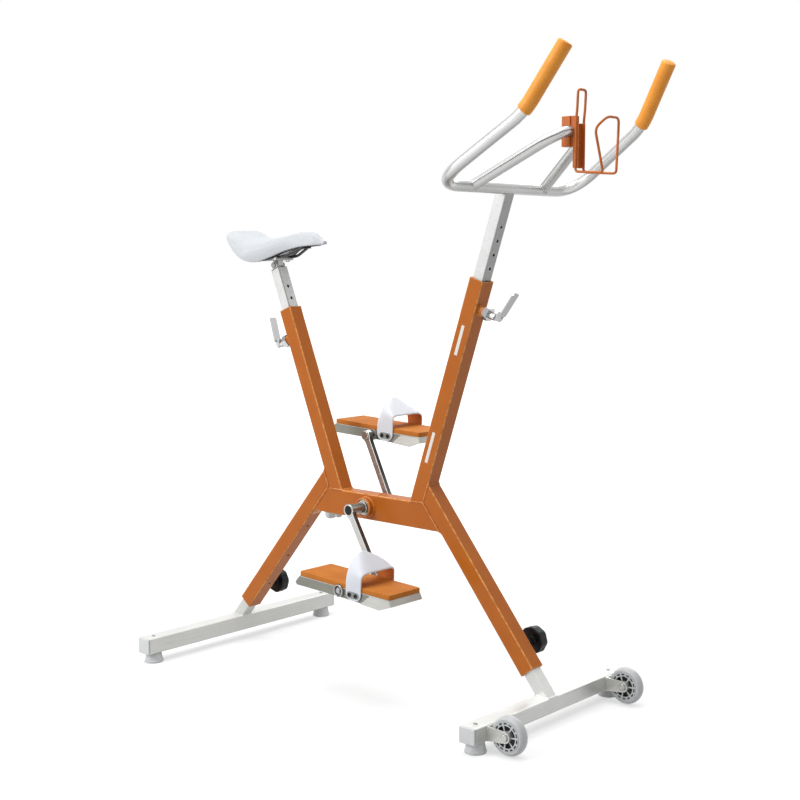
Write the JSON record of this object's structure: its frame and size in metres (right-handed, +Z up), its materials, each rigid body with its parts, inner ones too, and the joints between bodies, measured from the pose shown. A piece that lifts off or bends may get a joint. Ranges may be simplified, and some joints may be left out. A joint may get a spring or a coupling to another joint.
{
  "type": "aqua bike",
  "caption": "Pool exercise bike: tube frame on two cross feet, adjustable saddle and handlebar, free crank with strapped foot pedals, transport wheels and a bottle cage",
  "frame": {"origin": "on the ground, under the middle of the bounding box", "axes": "+X forward, towards the handlebar and the wheels; +Y towards the rider's left; +Z up"},
  "size_m": [1.1424, 0.63, 1.3737],
  "materials": {
    "frame_paint": "satin orange powder coat",
    "polished_steel": "fine brushed stainless steel",
    "bar_steel": "polished stainless steel tube",
    "crank_metal": "polished",
    "satin_steel": "satin",
    "lock_chrome": "polished",
    "black_plastic": "moulded, lightly textured",
    "rail_steel": "black coated wire",
    "pale_plastic": "moulded",
    "pad_rubber": "pale moulded rubber",
    "saddle_skin": "soft moulded skin",
    "grip_foam": "closed-cell foam",
    "strap_rubber": "smooth moulded rubber, orange inside",
    "cage_paint": "satin",
    "wheel_plastic": "moulded",
    "wheel_tread": "smooth translucent polyurethane"
  },
  "bodies": {
    "frame": {"seat_tube": "frame_paint", "handlebar_tube": "frame_paint", "cross_beam": "frame_paint", "rear_leg": "frame_paint", "front_leg": "frame_paint", "crank_shell": "frame_paint", "beam_plug": "pale_plastic", "seat_sleeve": "black_plastic", "handlebar_sleeve": "black_plastic", "rear_leg_sleeve": "black_plastic", "front_leg_sleeve": "black_plastic", "bearing_cup_left": "crank_metal", "bearing_cup_right": "crank_metal", "seat_lock_barrel": "lock_chrome", "handlebar_lock_barrel": "lock_chrome"},
    "seat_post": {"seat_post": "polished_steel"},
    "saddle_clamp": {"saddle_cradle": "satin_steel", "saddle_clamp_plate": "satin_steel"},
    "saddle": {"saddle_rails": "rail_steel", "saddle_base": "black_plastic", "saddle_cover": "saddle_skin"},
    "handlebar": {"handlebar_post": "polished_steel", "handlebar": "bar_steel", "handlebar_loop": "bar_steel", "grip_left": "grip_foam", "grip_right": "grip_foam", "cage_clamp": "cage_paint", "cage_plate": "cage_paint", "cage_wire": "cage_paint"},
    "seat_lock_lever": {"seat_lock_lever": "lock_chrome"},
    "seat_lock_pin": {"seat_lock_pin": "satin_steel"},
    "handlebar_lock_lever": {"handlebar_lock_lever": "lock_chrome"},
    "handlebar_lock_pin": {"handlebar_lock_pin": "satin_steel"},
    "rear_foot": {"rear_foot": "polished_steel", "rear_cap_left": "pale_plastic", "rear_cap_right": "pale_plastic", "rear_pad_left": "pad_rubber", "rear_pad_right": "pad_rubber"},
    "front_foot": {"front_foot": "polished_steel", "front_cap_left": "pale_plastic", "front_cap_right": "pale_plastic", "front_pad_left": "pad_rubber", "front_pad_right": "pad_rubber", "wheel_fork_left": "polished_steel", "wheel_fork_right": "polished_steel"},
    "left_wheel": {"wheel_hub_left": "wheel_plastic", "wheel_tyre_left": "wheel_tread"},
    "right_wheel": {"wheel_hub_right": "wheel_plastic", "wheel_tyre_right": "wheel_tread"},
    "rear_knob": {"rear_knob": "black_plastic"},
    "front_knob": {"front_knob": "black_plastic"},
    "crankset": {"crank_spindle": "crank_metal", "crank_left": "crank_metal", "crank_right": "crank_metal"},
    "left_pedal": {"pedal_tray_left": "satin_steel", "pedal_pad_left": "grip_foam", "pedal_strap_left": "strap_rubber"},
    "right_pedal": {"pedal_tray_right": "satin_steel", "pedal_pad_right": "grip_foam", "pedal_strap_right": "strap_rubber"}
  },
  "joints": [
    {"name": "crank_spin", "type": "hinge", "parent": "frame", "child": "crankset", "pos_m": [-0.0898, 0, 0.399], "axis": [0, 1, 0], "continuous": true},
    {"name": "left_pedal_spin", "type": "hinge", "parent": "crankset", "child": "left_pedal", "pos_m": [-0.17605, 0.148, 0.54839], "axis": [0, 1, 0], "continuous": true},
    {"name": "right_pedal_spin", "type": "hinge", "parent": "crankset", "child": "right_pedal", "pos_m": [-0.00355, -0.148, 0.24961], "axis": [0, 1, 0], "continuous": true},
    {"name": "seat_post_slide", "type": "slide", "parent": "frame", "child": "seat_post", "axis": [-0.373, 0, 0.9278], "range_m": [-0.061, 0.0915]},
    {"name": "saddle_tilt", "type": "hinge", "parent": "seat_post", "child": "saddle_clamp", "pos_m": [-0.40177, 0, 0.9523], "axis": [0, 1, 0], "range_deg": [-12, 12]},
    {"name": "saddle_slide", "type": "slide", "parent": "saddle_clamp", "child": "saddle", "axis": [0.998, 0, 0.0639], "range_m": [-0.018, 0.018]},
    {"name": "handlebar_slide", "type": "slide", "parent": "frame", "child": "handlebar", "axis": [0.319, 0, 0.9478], "range_m": [-0.0915, 0.0915]},
    {"name": "rear_foot_slide", "type": "slide", "parent": "frame", "child": "rear_foot", "axis": [-0.6428, 0, -0.766], "range_m": [-0.03, 0.1]},
    {"name": "front_foot_slide", "type": "slide", "parent": "frame", "child": "front_foot", "axis": [0.6293, 0, -0.7771], "range_m": [-0.03, 0.1]},
    {"name": "left_wheel_spin", "type": "hinge", "parent": "front_foot", "child": "left_wheel", "pos_m": [0.4727, 0.21, 0.0415], "axis": [0, 1, 0], "continuous": true},
    {"name": "right_wheel_spin", "type": "hinge", "parent": "front_foot", "child": "right_wheel", "pos_m": [0.4727, -0.21, 0.0415], "axis": [0, 1, 0], "continuous": true},
    {"name": "seat_lock_turn", "type": "hinge", "parent": "frame", "child": "seat_lock_lever", "pos_m": [-0.39902, 0, 0.75779], "axis": [0, -1, 0], "range_deg": [0, 70]},
    {"name": "seat_lock_draw", "type": "slide", "parent": "frame", "child": "seat_lock_pin", "axis": [-0.9278, 0, -0.373], "range_m": [0, 0.006]},
    {"name": "handlebar_lock_turn", "type": "hinge", "parent": "frame", "child": "handlebar_lock_lever", "pos_m": [0.27519, 0, 0.84303], "axis": [0, 1, 0], "range_deg": [0, 60]},
    {"name": "handlebar_lock_draw", "type": "slide", "parent": "frame", "child": "handlebar_lock_pin", "axis": [0.9478, 0, -0.319], "range_m": [0, 0.006]},
    {"name": "rear_knob_turn", "type": "hinge", "parent": "frame", "child": "rear_knob", "pos_m": [-0.47478, 0.045, 0.1501], "axis": [0, 1, 0], "range_deg": [0, 720]},
    {"name": "front_knob_turn", "type": "hinge", "parent": "frame", "child": "front_knob", "pos_m": [0.33268, 0.045, 0.14976], "axis": [0, 1, 0], "range_deg": [0, 720]}
  ],
  "couplings": [
    {"joint": "seat_lock_draw", "follows": "seat_lock_turn", "m_per_rad": 0.0045},
    {"joint": "handlebar_lock_draw", "follows": "handlebar_lock_turn", "m_per_rad": 0.005}
  ]
}
